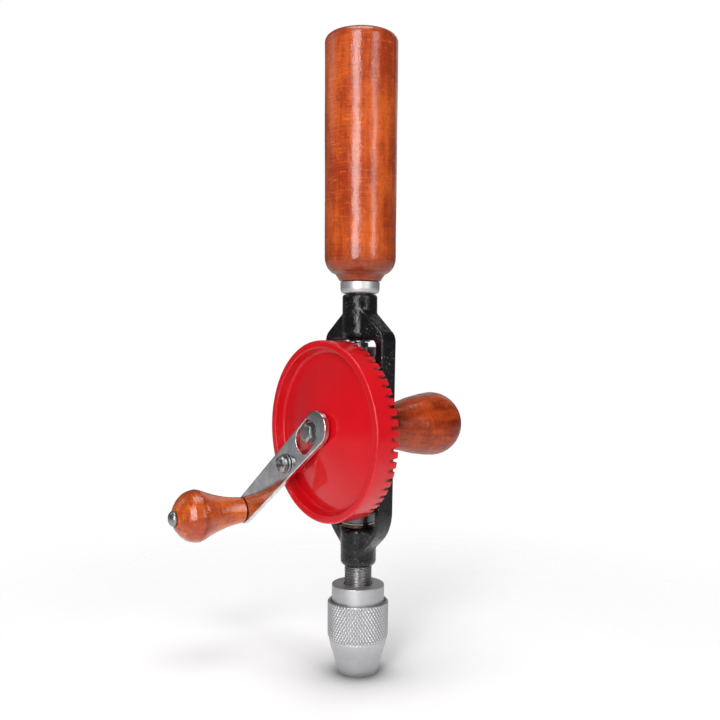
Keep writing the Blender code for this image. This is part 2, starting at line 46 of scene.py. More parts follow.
# The design sizes that the CAD part is made to, in millimetres.
WHEEL_Z = 116.0
FRAME_BOTTOM, FRAME_TOP = 51.5, 179.5
WINDOW_BOTTOM, WINDOW_TOP = 70.0, 158.2
WINDOW_HALF_X, WINDOW_CORNER = 17.0, 3.0
RAIL_X, RAIL_X_LOW, RAIL_HALF_Y = 22.0, 20.3, 4.25
WHEEL_TEETH, PINION_TEETH = 56, 16
WHEEL_R, WHEEL_FRONT, WHEEL_TOOTH_INNER_R, TOOTH_LENGTH = 42.0, 22.5, 33.0, 9.0
HUB_R, HUB_FRONT, HUB_BACK = 7.6, 26.2, 9.3
MODULE = 2.0 * WHEEL_R / WHEEL_TEETH
PRESSURE_ANGLE = math.radians(20.0)
ADDENDUM, DEDENDUM, FLANK_RELIEF = MODULE, 1.27 * MODULE, 0.09
PINION_OUTER_END, PINION_INNER_END = 38.8, 30.3
CRANK_ANGLE = math.radians(217.0)
KNOB_RADIUS, ARM_OFFSET = 74.5, 1.1
SCREW_DISTANCE, SCREW_OFFSET = 24.5, 1.9
ARM_BACK, ARM_THICKNESS = 26.5, 2.5
SLEEVE_R, SLEEVE_TOP, SLEEVE_SHOULDER = 14.45, 34.7, 18.6
KNURL_LOW, KNURL_HIGH, KNURL_STARTS, KNURL_PITCH, KNURL_DEPTH = 16.4, 34.4, 56, 2.5, 0.52
COLLAR_R, COLLAR_TOP = 12.4, 42.5
THREAD_R, THREAD_PITCH, THREAD_LOW, THREAD_HIGH = 6.45, 1.27, 39.5, 51.3

UPRIGHT = (0.0, 0.0, 0.0)
FRONT = (math.radians(90.0), 0.0, 0.0)
BACK = (math.radians(-90.0), 0.0, 0.0)
AXLE = (0.0, 0.0, WHEEL_Z)

# The camera of the main view: its place in metres, its angles in radians, its lens in mm.
CAMERA_PLACE = (0.336604, -0.258971, 0.162228)
CAMERA_AZIMUTH, CAMERA_ELEVATION = math.radians(52.396), math.radians(1.834)
CAMERA_ROLL = 0.00682
CAMERA_LENS, CAMERA_SENSOR = 44.98, 36.0


# ------------------------------------------------------------------ materials
#
# Textures are read in each piece's own coordinates, in metres, so a stretch of 1000 makes
# features about a millimetre across. Seeds only move a texture, so that no two woods match.

def scaled(colour, share):
    return tuple(share * value for value in colour)


class Finish:
    """One procedural material, with short calls that add its nodes."""

    def __init__(self, name, **shader):
        self.material = bpy.data.materials.new(name)
        self.material.use_nodes = True
        self.tree = self.material.node_tree
        self.shader = self.tree.nodes["Principled BSDF"]
        self.where = self.add("ShaderNodeTexCoord").outputs["Object"]
        for key, value in shader.items():
            self.put(self.shader.inputs[key.replace("_", " ")], value)

    def add(self, kind, inputs=None, **settings):
        node = self.tree.nodes.new(kind)
        for key, value in settings.items():
            setattr(node, key, value)
        for key, value in (inputs or {}).items():
            self.put(node.inputs[key], value)
        return node

    def put(self, socket, value):
        """Link a socket to another one, or set its value."""
        if isinstance(value, bpy.types.NodeSocket):
            self.tree.links.new(value, socket)
        elif socket.type == "RGBA":
            socket.default_value = (*value, 1.0)
        else:
            socket.default_value = value

    def noise(self, stretch, seed=0.0, detail=3.0, roughness=0.55):
        """A noise with its own number of features per metre along each axis."""
        place = self.add("ShaderNodeMapping", {
            "Vector": self.where, "Scale": stretch, "Location": (seed, seed * 1.7, seed * 0.6)})
        noise = self.add("ShaderNodeTexNoise", {
            "Vector": place.outputs[0], "Scale": 1.0, "Detail": detail, "Roughness": roughness})
        return noise.outputs["Fac"]

    def span(self, value, low, high, first=0.0, last=1.0):
        """Map a value from the range low to high onto the range first to last."""
        node = self.add("ShaderNodeMapRange", {
            0: value, 1: low, 2: high, 3: first, 4: last}, interpolation_type="SMOOTHSTEP")
        return node.outputs[0]

    def math(self, operation, first, second):
        return self.add("ShaderNodeMath", {0: first, 1: second}, operation=operation).outputs[0]

    def mix(self, factor, first, second):
        node = self.add("ShaderNodeMix", {0: factor, 6: first, 7: second}, data_type="RGBA")
        return node.outputs[2]

    def overlay(self, colour, mask, share, tint):
        """Mix a share of a tint into a colour where a mask is bright."""
        return self.mix(self.math("MULTIPLY", mask, share), colour, tint)

    def attribute(self, name):
        return self.add("ShaderNodeAttribute", attribute_name=name).outputs["Fac"]

    def height(self, axis="Z"):
        return self.add("ShaderNodeSeparateXYZ", {0: self.where}).outputs[axis]

    def bump(self, value, depth, below=None):
        """A bump of a given depth in metres, on top of another bump."""
        inputs = {"Height": value, "Distance": depth, "Strength": 1.0}
        if below is not None:
            inputs["Normal"] = below
        return self.add("ShaderNodeBump", inputs).outputs[0]

    def finish(self, colour=None, roughness=None, normal=None, coat_normal=None):
        parts = (("Base Color", colour), ("Roughness", roughness), ("Normal", normal),
                 ("Coat Normal", coat_normal))
        for key, value in parts:
            if value is not None:
                self.put(self.shader.inputs[key], value)
        return self.material


def wood(name, light, dark, seed, darker_bands=(), ring=None, gloss=(1.0, 0.15)):
    """Varnished turned wood: blotches, grain streaks, pores and fine turning marks.

    A darker band is (height where it is full, height where it ends, share): on the handle the band
    at the bottom shoulder is partly grease and partly painted shade, and the one at the top darkens
    the top end. A ring is the height of a dark turned line. gloss is the varnish's coat weight and
    roughness.
    """
    f = Finish(name, Coat_Weight=gloss[0], Coat_Roughness=gloss[1], Coat_IOR=1.52,
               Specular_IOR_Level=0.12)
    blotch = f.noise((70.0, 70.0, 38.0), seed, 4.0, 0.6)
    streak = f.noise((420.0, 420.0, 26.0), seed + 3.0, 4.0, 0.6)
    marks = f.noise((55.0, 55.0, 1300.0), seed + 5.0, 2.0, 0.5)
    pores = f.noise((1500.0, 1500.0, 600.0), seed + 7.0, 2.0, 0.5)
    flecks = f.noise((260.0, 260.0, 900.0), seed + 9.0, 3.0, 0.6)
    tone = f.add("ShaderNodeMath", {0: streak, 1: 0.4, 2: f.math("MULTIPLY", blotch, 0.9)},
                 operation="MULTIPLY_ADD").outputs[0]
    colour = f.mix(f.span(tone, 0.50, 0.80), dark, light)
    deep = scaled(dark, 0.45)
    colour = f.overlay(colour, f.span(marks, 0.52, 0.72), 0.28, deep)
    colour = f.overlay(colour, f.span(flecks, 0.60, 0.74), 0.5, deep)
    colour = f.overlay(colour, f.span(pores, 0.60, 0.70), 0.6, deep)
    bright = tuple(min(1.0, 1.35 * value + 0.01) for value in light)
    colour = f.overlay(colour, f.span(flecks, 0.40, 0.28), 0.45, bright)
    dashes = f.noise((170.0, 170.0, 1500.0), seed + 15.0, 3.0, 0.6)
    colour = f.overlay(colour, f.span(dashes, 0.58, 0.72), 0.55, bright)
    # Darker towards given heights: on the handle, painted shade with some grease under the bottom
    # shoulder, and a darker top end.
    for full, none, share in darker_bands:
        reach = f.span(f.height(), min(full, none), max(full, none),
                       *((share, 0.0) if full < none else (0.0, share)))
        colour = f.overlay(colour, reach, f.span(blotch, 0.3, 0.55, 0.5, 1.0), deep)
    if ring is not None:
        away = f.math("ABSOLUTE", f.math("SUBTRACT", f.height(), ring), 0.0)
        band = f.math("MULTIPLY", f.span(away, 0.0002, 0.0016, 0.7, 0.0),
                      f.span(pores, 0.35, 0.55))
        colour = f.mix(band, colour, deep)
    fine = f.noise((1900.0, 1900.0, 1500.0), seed + 11.0, 2.0, 0.5)
    wave = f.noise((160.0, 160.0, 120.0), seed + 13.0, 2.0, 0.5)
    normal = f.bump(marks, 0.00008, f.bump(fine, 0.00006, f.bump(wave, 0.0003)))
    return f.finish(colour, f.span(blotch, 0.3, 0.7, 0.34, 0.5), normal, normal)


def red_enamel():
    """Glossy red paint: darker towards the tooth roots, partly dirt and partly painted shade, and
    lighter along the lip's edges and the tooth tips, partly wear and partly painted highlight.
    """
    f = Finish("red_enamel", Coat_Weight=0.8, Coat_Roughness=0.07, Coat_IOR=1.42,
               Specular_IOR_Level=0.12)
    cloud = f.noise((45.0, 45.0, 45.0), 2.0, 3.0)
    fine = f.noise((900.0, 900.0, 900.0), 4.0, 2.0)
    colour = f.mix(cloud, (0.60, 0.0035, 0.009), (0.72, 0.0055, 0.013))
    # Darker towards the tooth roots: partly dirt, partly painted shade in the recesses.
    root_dirt_and_shade = f.math("MULTIPLY", f.attribute("root_dirt_and_shade"), f.span(fine, 0.30, 0.60, 0.45, 1.0))
    colour = f.mix(root_dirt_and_shade, colour, (0.030, 0.004, 0.005))
    # Lighter along the lip's edges and the tooth tips: partly wear, partly painted highlight.
    edge_wear_and_highlight = f.math("MULTIPLY", f.attribute("edge"), f.span(fine, 0.42, 0.62))
    colour = f.overlay(colour, edge_wear_and_highlight, 0.35, (0.66, 0.07, 0.07))
    sag = f.noise((70.0, 70.0, 70.0), 6.0, 2.0)
    normal = f.bump(fine, 0.000012, f.bump(sag, 0.00022))
    return f.finish(colour, f.span(cloud, 0.3, 0.7, 0.30, 0.42), None, normal)


def black_enamel():
    """Glossy black paint over a rough casting, with a few chips."""
    f = Finish("black_enamel", Coat_Weight=1.0, Coat_Roughness=0.07, Coat_IOR=1.43,
               Specular_IOR_Level=0.12)
    rough = f.noise((560.0, 560.0, 460.0), 1.0, 4.0, 0.6)
    lumps = f.noise((120.0, 120.0, 120.0), 5.0, 3.0, 0.5)
    grit = f.noise((1500.0, 1500.0, 1500.0), 8.0, 2.0)
    chips = f.math("MULTIPLY", f.span(grit, 0.66, 0.71), f.span(lumps, 0.52, 0.60))
    colour = f.mix(lumps, (0.0020, 0.0020, 0.0032), (0.0045, 0.0045, 0.0060))
    colour = f.mix(chips, colour, (0.42, 0.42, 0.44))
    pits = f.span(rough, 0.50, 0.60)
    normal = f.bump(pits, 0.00002, f.bump(rough, 0.00018, f.bump(lumps, 0.0006)))
    normal = f.bump(grit, 0.00003, normal)
    return f.finish(colour, f.span(rough, 0.3, 0.7, 0.26, 0.45), normal, normal)


def steel(name, tone, low, high, stretch=(500.0, 500.0, 500.0), depth=0.00001, seed=0.0,
          tint=(1.0, 1.0, 1.015), grime=0.25, clouds=0.70, knurled=False):
    """Bare metal: cloudy tone, uneven roughness and a fine tooled grain.

    low and high bound the roughness, clouds is the dark clouds' share of the tone, and grime the
    strength of the dirty spots. A knurled piece is painted brighter over its knurled band as a
    painted highlight, and darker in its grooves as painted shade.
    """
    f = Finish(name, Metallic=1.0)
    cloud = f.noise((130.0, 130.0, 130.0), seed, 4.0, 0.6)
    grain = f.noise(stretch, seed + 2.0, 3.0, 0.6)
    spots = f.noise((900.0, 900.0, 900.0), seed + 4.0, 2.0)
    light, dark = scaled(tint, tone), scaled(tint, tone * clouds)
    colour = f.mix(f.span(cloud, 0.30, 0.68), dark, light)
    colour = f.overlay(colour, f.span(spots, 0.62, 0.74), grime, scaled(light, 0.25))
    if knurled:
        # Painted highlight: the knurled band is made brighter.
        colour = f.mix(f.attribute("band"), colour, scaled(light, 1.30))
        # Painted shade: the knurl's grooves are made darker.
        colour = f.mix(f.attribute("groove"), colour, scaled(light, 0.55))
    rough = f.add("ShaderNodeMath", {0: grain, 1: high - low, 2: low},
                  operation="MULTIPLY_ADD").outputs[0]
    return f.finish(colour, rough, f.bump(grain, depth))


MATERIALS = {
    # The handle darkens towards its bottom shoulder, partly grease and partly painted shade, and
    # towards its top end.
    "handle_wood": wood("handle_wood", (0.66, 0.112, 0.014), (0.37, 0.040, 0.006), 1.0,
                        ((0.188, 0.203, 0.65), (0.301, 0.294, 0.60))),
    "side_wood": wood("side_wood", (0.54, 0.064, 0.005), (0.20, 0.018, 0.003), 21.0,
                      gloss=(0.60, 0.10)),
    "knob_wood": wood("knob_wood", (0.70, 0.135, 0.012), (0.40, 0.046, 0.006), 41.0,
                      ring=0.0552),
    "red_enamel": red_enamel(),
    "black_enamel": black_enamel(),
    "polished_steel": steel("polished_steel", 0.80, 0.07, 0.17, (60.0, 1600.0, 1600.0), 0.000004),
    "screw_steel": steel("screw_steel", 0.46, 0.24, 0.44, seed=9.0, depth=0.00002, grime=0.6),
    "gear_steel": steel("gear_steel", 0.40, 0.28, 0.46, seed=13.0, grime=0.5),
    "dark_steel": steel("dark_steel", 0.20, 0.26, 0.44, seed=17.0, grime=0.6),
    "ferrule_aluminium": steel("ferrule_aluminium", 0.78, 0.42, 0.54, (90.0, 90.0, 3200.0),
                               0.000005, 23.0, grime=0.1, clouds=0.88),
    "chuck_steel": steel("chuck_steel", 0.58, 0.46, 0.60, (2600.0, 2600.0, 2600.0), 0.000008,
                         29.0, (1.0, 1.0, 1.03), 0.06, 0.93),
    "thread_steel": steel("thread_steel", 0.42, 0.30, 0.44, seed=37.0, grime=0.3),
    "knurled_steel": steel("knurled_steel", 0.60, 0.36, 0.50, (2600.0, 2600.0, 2600.0), 0.000008,
                           29.0, (1.0, 1.0, 1.03), 0.06, 0.93, True),
    "bearing_bronze": steel("bearing_bronze", 0.12, 0.28, 0.46, seed=31.0,
                            tint=(1.0, 0.62, 0.28)),
}


# ------------------------------------------------------------------ mesh tools
#
# A profile is a list of (radius, height) or (radius, height, fillet) in millimetres, turned
# round the local Z axis. Heights along the axle are distances from the frame's middle plane.

def place_piece(name, mesh, body, material, nodes, location=UPRIGHT, rotation=UPRIGHT,
                weighted=True):
    """Put a finished mesh on its body, in place of the CAD nodes that it stands for."""
    obj = bpy.data.objects.new(name, mesh)
    bpy.context.scene.collection.objects.link(obj)
    obj.location = [value * MM for value in location]
    obj.rotation_euler = rotation
    mesh.materials.clear()
    mesh.materials.append(MATERIALS[material])
    mesh.shade_smooth()
    if weighted:
        normals = obj.modifiers.new("weighted_normals", "WEIGHTED_NORMAL")
        normals.keep_sharp = True
    bpy.context.view_layer.update()
    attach(obj, body)
    if nodes:
        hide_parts(*nodes)
    return obj


def mesh_from(name, points, faces, marks=None):
    """A mesh from points in millimetres, with faces turned outwards."""
    mesh = bpy.data.meshes.new(name)
    mesh.from_pydata([tuple(point) for point in np.asarray(points) * MM], [], faces)
    for key, values in (marks or {}).items():
        mesh.attributes.new(key, "FLOAT", "POINT").data.foreach_set("value", values)
    shape = bmesh.new()
    shape.from_mesh(mesh)
    bmesh.ops.recalc_face_normals(shape, faces=shape.faces)
    shape.to_mesh(mesh)
    shape.free()
    return mesh


def rounded(profile, default=0.3, steps=4):
    """Replace each inner corner of a (radius, height[, fillet]) profile with a small arc."""
    corners = [Vector(point[:2]) for point in profile]
    points = [tuple(corners[0])]
    for index in range(1, len(profile) - 1):
        corner = corners[index]
        fillet = profile[index][2] if len(profile[index]) > 2 else default
        before, after = corners[index - 1] - corner, corners[index + 1] - corner
        angle = before.angle(after)
        reach = min(fillet / math.tan(angle / 2), 0.45 * before.length, 0.45 * after.length)
        if fillet <= 0.0 or angle > math.radians(178.0):
            points.append(tuple(corner))
            continue
        start = corner + before.normalized() * reach
        finish = corner + after.normalized() * reach
        for step in range(steps + 1):
            t = step / steps
            points.append(tuple(start * (1 - t) ** 2 + corner * 2 * t * (1 - t) + finish * t ** 2))
    points.append(tuple(corners[-1]))
    return points


def ellipse(centre, radii, start, end, count):
    """Points of an ellipse's arc, that keep their shape when the profile is rounded."""
    return [(centre[0] + radii[0] * math.cos(math.radians(start + (end - start) * i / count)),
             centre[1] + radii[1] * math.sin(math.radians(start + (end - start) * i / count)), 0.0)
            for i in range(count + 1)]


def divided(points, longest):
    """Add points so that no step of a profile is longer than the given length."""
    result = [points[0]]
    for first, second in zip(points, points[1:]):
        count = max(1, math.ceil(math.dist(first, second) / longest))
        for step in range(1, count + 1):
            t = step / count
            result.append((first[0] * (1 - t) + second[0] * t, first[1] * (1 - t) + second[1] * t))
    return result


def refined(points, picked, short, long):
    """Divide a profile into short steps where picked(radius, height) holds, else long ones.

    The last point is left out.
    """
    fine = []
    for first, second in zip(points, points[1:]):
        step = short if picked(first[0], (first[1] + second[1]) / 2) else long
        fine += divided([first, second], step)[:-1]
    return fine


def lathe(name, profile, columns=96, warp=None, closed=False, marks=None):
    """Turn a profile round the local Z axis.

    warp(angle, radius, height) returns the moved radius and height. marks gives a function
    of (x, y, z) for each attribute that a material reads.
    """
    profile = np.array(profile, float)
    angles = 2 * math.pi * np.arange(columns) / columns
    grid_angle = np.repeat(angles[None, :], len(profile), 0)
    radius = np.repeat(profile[:, :1], columns, 1)
    height = np.repeat(profile[:, 1:2], columns, 1)
    on_axis = profile[:, 0] < 1e-6
    if warp is not None:
        radius, height = warp(grid_angle, radius, height)
    points, index = [], []
    for row in range(len(profile)):
        start = len(points)
        if on_axis[row]:
            points.append((0.0, 0.0, float(height[row, 0])))
            index.append([start] * columns)
            continue
        points += zip(radius[row] * np.cos(angles), radius[row] * np.sin(angles), height[row])
        index.append(list(range(start, start + columns)))
    faces = []
    rows = len(profile)
    for row in range(rows if closed else rows - 1):
        first, second = index[row], index[(row + 1) % rows]
        for column in range(columns):
            after = (column + 1) % columns
            corners = (first[column], first[after], second[after], second[column])
            faces.append(tuple(dict.fromkeys(corners)))
    values = {key: [make(*point) for point in points] for key, make in (marks or {}).items()}
    return mesh_from(name, points, faces, values)


def turned(name, profile, body, material, nodes, location=UPRIGHT, rotation=UPRIGHT, columns=96,
           fillet=0.3, closed=False, warp=None, longest=None):
    """A turned piece. A closed profile is a ring that starts in the middle of a straight side."""
    if closed:
        first, last = profile[0], profile[-1]
        middle = ((first[0] + last[0]) / 2, (first[1] + last[1]) / 2)
        points = rounded([middle, *profile, middle], fillet)[:-1]
    else:
        points = rounded(profile, fillet)
    if longest:
        points = divided(points, longest)
    mesh = lathe(name, points, columns, warp, closed)
    return place_piece(name, mesh, body, material, nodes, location, rotation)


def washer(name, outer, inner, low, high, body, material, nodes, location=AXLE, rotation=FRONT):
    """A flat ring with rounded edges, from one height to another."""
    profile = [(outer, high), (outer, low), (inner, low), (inner, high)]
    return turned(name, profile, body, material, nodes, location, rotation, 72, 0.18, True)


def carve(obj, size, location):
    """Cut a box out of a piece and keep only the result."""
    mesh = bpy.data.meshes.new("cutter")
    shape = bmesh.new()
    bmesh.ops.create_cube(shape, size=1.0)
    bmesh.ops.scale(shape, vec=Vector(size) * MM, verts=shape.verts)
    shape.to_mesh(mesh)
    shape.free()
    cutter = bpy.data.objects.new("cutter", mesh)
    bpy.context.scene.collection.objects.link(cutter)
    cutter.location = Vector(location) * MM
    boolean = obj.modifiers.new("slot", "BOOLEAN")
    boolean.operation, boolean.solver, boolean.object = "DIFFERENCE", "EXACT", cutter
    bevel = obj.modifiers.new("slot_edges", "BEVEL")
    bevel.width, bevel.segments, bevel.limit_method = 0.00012, 2, "ANGLE"
    bevel.angle_limit = math.radians(50.0)
    bpy.context.view_layer.update()
    result = bpy.data.meshes.new_from_object(
        obj.evaluated_get(bpy.context.evaluated_depsgraph_get()))
    obj.modifiers.clear()
    obj.data = result
    bpy.data.objects.remove(cutter)


def crank_point(distance, offset=0.0):
    """A point beside the line from axle to knob pin, in the wheel's front view."""
    along = (math.cos(CRANK_ANGLE), math.sin(CRANK_ANGLE))
    return (distance * along[0] - offset * along[1], distance * along[1] + offset * along[0])


# ------------------------------------------------------------------ frame casting

def smooth_min(first, second, blend):
    """The smaller of two distances, with a fillet where they are within blend."""
    share = np.clip(0.5 + 0.5 * (second - first) / blend, 0.0, 1.0)
    return second * (1 - share) + first * share - blend * share * (1 - share)


def smooth_max(first, second, blend):
    return -smooth_min(-first, -second, blend)


def frame_field(points):
    """Signed distance, about, from the cast frame's surface, negative inside, in millimetres."""
    x, y, z = np.abs(points[:, 0]), points[:, 1], points[:, 2]
    # The outline in front view: rails that spread upwards, and a sloping shoulder at each end.
    wide = RAIL_X_LOW + (RAIL_X - RAIL_X_LOW) * np.clip((z - WINDOW_BOTTOM) / 90.0, 0.0, 1.0)
    upper = ((x - RAIL_X) * 9.7 + (z - 160.3) * 12.7) / math.hypot(9.7, 12.7)
    lower = ((x - RAIL_X_LOW) * 9.6 - (z - 70.2) * 11.5) / math.hypot(9.6, 11.5)
    outline = smooth_max(smooth_max(x - wide, upper, 2.4), lower, 7.0)
    plate = smooth_max(outline, np.abs(y) - RAIL_HALF_Y, 0.9)
    # The window, with rounded corners.
    middle, half = (WINDOW_TOP + WINDOW_BOTTOM) / 2, (WINDOW_TOP - WINDOW_BOTTOM) / 2
    corner_x = x - WINDOW_HALF_X + WINDOW_CORNER
    corner_z = np.abs(z - middle) - half + WINDOW_CORNER
    window = np.hypot(np.maximum(corner_x, 0), np.maximum(corner_z, 0)) - WINDOW_CORNER
    window += np.minimum(np.maximum(corner_x, corner_z), 0)
    plate = smooth_max(plate, -window, 0.9)
    # The bosses for the handle's tang and for the spindle.
    around = np.hypot(points[:, 0], y)
    narrow = 8.2 - 0.7 * np.clip((161.5 - z) / 3.0, 0.0, 1.0)
    boss = smooth_max(around - narrow, np.abs(z - (WINDOW_TOP + FRAME_TOP) / 2) - 10.65, 1.6)
    plate = smooth_min(plate, boss, 1.5)
    centre, reach = (FRAME_BOTTOM + WINDOW_BOTTOM) / 2, (WINDOW_BOTTOM - FRAME_BOTTOM) / 2
    boss = smooth_max(around - 8.45, np.abs(z - centre) - reach, 2.6)
    plate = smooth_min(plate, boss, 2.0)
    # The cross bar with the axle's boss, and the bore through it.
    axle = np.hypot(points[:, 0], z - WHEEL_Z)
    bar = smooth_max(np.abs(y) - 3.75, np.abs(z - WHEEL_Z) - 7.0, 1.5)
    plate = smooth_min(plate, smooth_max(bar, x - 18.5, 1.0), 2.4)
    boss = smooth_max(axle - 9.5, np.abs(y - 0.25) - 9.25, 1.4)
    plate = smooth_min(plate, boss, 2.4)
    plate = smooth_max(plate, 3.3 - axle, 0.6)
    # The bores for the spindle's bush and for the idler's pin.
    bore = smooth_max(around - 6.5, np.abs(z - 61.0) - 11.0, 0.5)
    plate = smooth_max(plate, -bore, 0.6)
    bore = smooth_max(around - 2.8, np.abs(z - 162.0) - 5.0, 0.5)
    return smooth_max(plate, -bore, 0.6)


def gradient(field, points, step=0.02):
    """The slope of a field at each point."""
    columns = []
    for axis in range(3):
        offset = np.zeros(3)
        offset[axis] = step
        columns.append((field(points + offset) - field(points - offset)) / (2 * step))
    return np.stack(columns, 1)


def surface_net(field, low, high, cell):
    """Points and four-sided faces of the surface where a field is zero."""
    low = np.array(low, float)
    counts = np.ceil((np.array(high) - low) / cell).astype(int) + 1
    axes = [low[axis] + cell * np.arange(counts[axis]) for axis in range(3)]
    grid = np.stack(np.meshgrid(*axes, indexing="ij"), -1).reshape(-1, 3)
    values = field(grid).reshape(counts)
    inside = values < 0
    offsets = [np.array((i, j, k)) for i in (0, 1) for j in (0, 1) for k in (0, 1)]
    size = counts - 1
    corners = np.stack([
        inside[o[0]:o[0] + size[0], o[1]:o[1] + size[1], o[2]:o[2] + size[2]] for o in offsets])
    active = corners.any(0) & ~corners.all(0)
    number = np.full(active.shape, -1)
    number[active] = np.arange(active.sum())
    cells = np.argwhere(active)
    total, share = np.zeros(cells.shape), np.zeros(len(cells))
    for first in offsets:
        for axis in range(3):
            if first[axis]:
                continue
            second = first.copy()
            second[axis] = 1
            start = values[tuple((cells + first).T)]
            end = values[tuple((cells + second).T)]
            cross = (start < 0) != (end < 0)
            t = np.where(cross, start / np.where(cross, start - end, 1.0), 0.0)
            total += np.where(cross[:, None], first + t[:, None] * (second - first), 0.0)
            share += cross
    points = low + (cells + total / share[:, None]) * cell
    # Three short steps along the slope bring each point onto the surface.
    for _ in range(3):
        slope = gradient(field, points)
        length = np.maximum((slope ** 2).sum(1), 0.05)
        points -= np.clip(field(points) / length, -0.2, 0.2)[:, None] * slope
    faces = []
    for axis in range(3):
        ahead = np.zeros(3, int)
        ahead[axis] = 1
        side, other = np.roll(ahead, 1), np.roll(ahead, 2)
        first = inside.take(range(counts[axis] - 1), axis)
        second = inside.take(range(1, counts[axis]), axis)
        places = np.argwhere(first != second)
        loop = [number[tuple((places - a * side - b * other).T)]
                for a, b in ((0, 0), (1, 0), (1, 1), (0, 1))]
        quads = np.stack(loop, 1)
        outward = first[tuple(places.T)]
        faces += quads[outward].tolist() + quads[~outward][:, ::-1].tolist()
    return points, faces


def make_frame():
    low, high, cell = (-22.3, -10.3, 50.3), (22.3, 10.7, 181.0), 0.55
    points, faces = surface_net(frame_field, low, high, cell)
    mesh = mesh_from("cast_frame", points, faces)
    place_piece("cast_frame", mesh, "frame", "black_enamel", ["frame_casting"], weighted=False)


# ------------------------------------------------------------------ handles

def wavy(depth, seed):
    """A warp for turned wood: faint flats and rings that the lathe leaves."""
    def warp(angle, radius, height):
        ripple = np.sin(height * 2.1 + seed) + 0.6 * np.sin(height * 3.7 + 2.0 * seed)
        oval = np.sin(2 * angle + seed) + 0.7 * np.sin(height * 0.13 + 3 * angle)
        return radius * (1 + depth * (0.25 * ripple + oval) / 16.0), height
    return warp


def make_main_handle():
    """The long handle, bored from below for the tang, and the ferrule under it."""
    profile = [(0.0, 301.4), (8.0, 301.35, 1.0)]
    profile += ellipse((11.2, 296.6), (5.95, 4.4), 80.0, 0.0, 22)
    profile += [(17.0, 262.0, 40.0), (16.75, 215.0, 40.0)]
    profile += ellipse((10.5, 197.0), (6.2, 8.2), 0.0, -78.0, 20)
    profile += [(10.45, 187.2, 0.5), (9.65, 185.8, 0.25), (8.3, 185.6), (8.3, 181.0), (4.3, 181.0),
                (4.3, 246.0), (0.0, 248.0)]
    turned("turned_handle", profile, "frame", "handle_wood", ["main_handle"], columns=160,
           fillet=0.3, warp=wavy(0.06, 1.0), longest=1.2)
    profile = [(9.25, 185.35), (9.25, 182.0, 1.0), (8.8, 180.4, 1.0), (7.8, 179.8, 0.5),
               (5.2, 179.8), (5.2, 180.5), (7.9, 180.5), (8.6, 181.2), (8.6, 185.35)]
    turned("spun_ferrule", profile, "frame", "ferrule_aluminium", ["handle_ferrule"], columns=128,
           fillet=0.2, closed=True)


def make_side_handle():
    """The side handle on the axle's line, bored for its stud, and its washer."""
    profile = [(0.0, 59.8), (1.5, 59.78, 0.5)]
    profile += ellipse((2.0, 45.0), (13.8, 14.7), 86.0, 0.0, 26)
    profile += [(15.35, 40.0, 12.0), (14.1, 32.5, 30.0), (12.2, 25.0, 30.0), (10.6, 18.0, 20.0),
                (9.9, 13.0, 8.0), (9.2, 11.1, 0.4), (3.3, 11.1), (3.3, 45.5), (0.0, 47.0)]
    turned("turned_side_handle", profile, "frame", "side_wood", ["side_handle"], AXLE, BACK, 144,
           warp=wavy(0.06, 2.3), longest=1.0)
    washer("side_grip_washer", 8.9, 3.3, 9.8, 10.8, "frame", "screw_steel",
           ["side_handle_washer"], AXLE, BACK)


def make_knob():
    """The crank's knob and the riveted pin that it turns on."""
    x, z = crank_point(KNOB_RADIUS)
    place = (x, 0.0, WHEEL_Z + z)
    profile = [(4.4, 66.3, 0.4), (7.2, 64.6, 3.0), (9.8, 62.4, 4.0), (11.8, 59.8, 4.0),
               (12.7, 57.0, 3.0), (12.95, 54.9, 0.7), (12.4, 52.8, 3.0), (10.9, 49.2, 14.0),
               (9.5, 45.4, 14.0), (8.4, 41.6, 12.0), (7.5, 38.0, 12.0), (6.9, 34.0, 10.0),
               (6.4, 29.4, 0.5), (2.95, 29.4), (2.95, 66.3)]
    turned("turned_knob", profile, "knob", "knob_wood", ["crank_knob"], place, FRONT, 144,
           closed=True, warp=wavy(0.05, 4.1), longest=0.7)
    profile = [(0.0, 69.2)]
    profile += ellipse((0.0, 66.9), (3.8, 2.3), 84.0, 6.0, 12)
    profile += [(3.7, 66.85, 0.1), (2.6, 66.8), (2.6, HUB_FRONT), (4.6, HUB_FRONT),
                (4.6, 25.4, 0.2), (4.0, 24.9), (0.0, 24.9)]
    turned("riveted_pin", profile, "wheel", "screw_steel", ["knob_pin"], place, FRONT, 64, 0.1)


# ------------------------------------------------------------------ gears

def involute(angle):
    return math.tan(angle) - angle


def tooth_columns(teeth, mate_teeth, phase):
    """Rounded tooth columns as (angle, radius, distance from the apex, depth share)."""
    cone_angle = math.atan2(teeth, mate_teeth)
    pitch_r, pitch_axial = MODULE * teeth / 2, MODULE * mate_teeth / 2
    flat_r = pitch_r / math.cos(cone_angle)
    base_r = flat_r * math.cos(PRESSURE_ANGLE)
    steps = [(-DEDENDUM, 0.34), (-DEDENDUM + 0.06, 0.14), (-DEDENDUM + 0.26, 0.0), (-0.9, 0.0),
             (-0.3, 0.0), (0.35, 0.0), (0.95, 0.0), (ADDENDUM - 0.16, -0.01),
             (ADDENDUM - 0.04, -0.06), (ADDENDUM, -0.17)]

    def half_width(level):
        rho = flat_r + level
        local = math.acos(min(1.0, base_r / rho))
        half = (math.pi * MODULE / 4 - FLANK_RELIEF) / flat_r
        return rho * (half + involute(PRESSURE_ANGLE) - involute(local))

    columns = []
    for tooth in range(teeth):
        middle = phase + 2 * math.pi * tooth / teeth
        for side, order in ((-1, steps), (1, steps[::-1])):
            for level, extra in order:
                radius = pitch_r + level * math.cos(cone_angle)
                axial = pitch_axial - level * math.sin(cone_angle)
                width = max(0.05, half_width(level) + extra)
                depth = (ADDENDUM - level) / (ADDENDUM + DEDENDUM)
                columns.append((middle + side * width / radius, radius, axial, depth))
    return columns


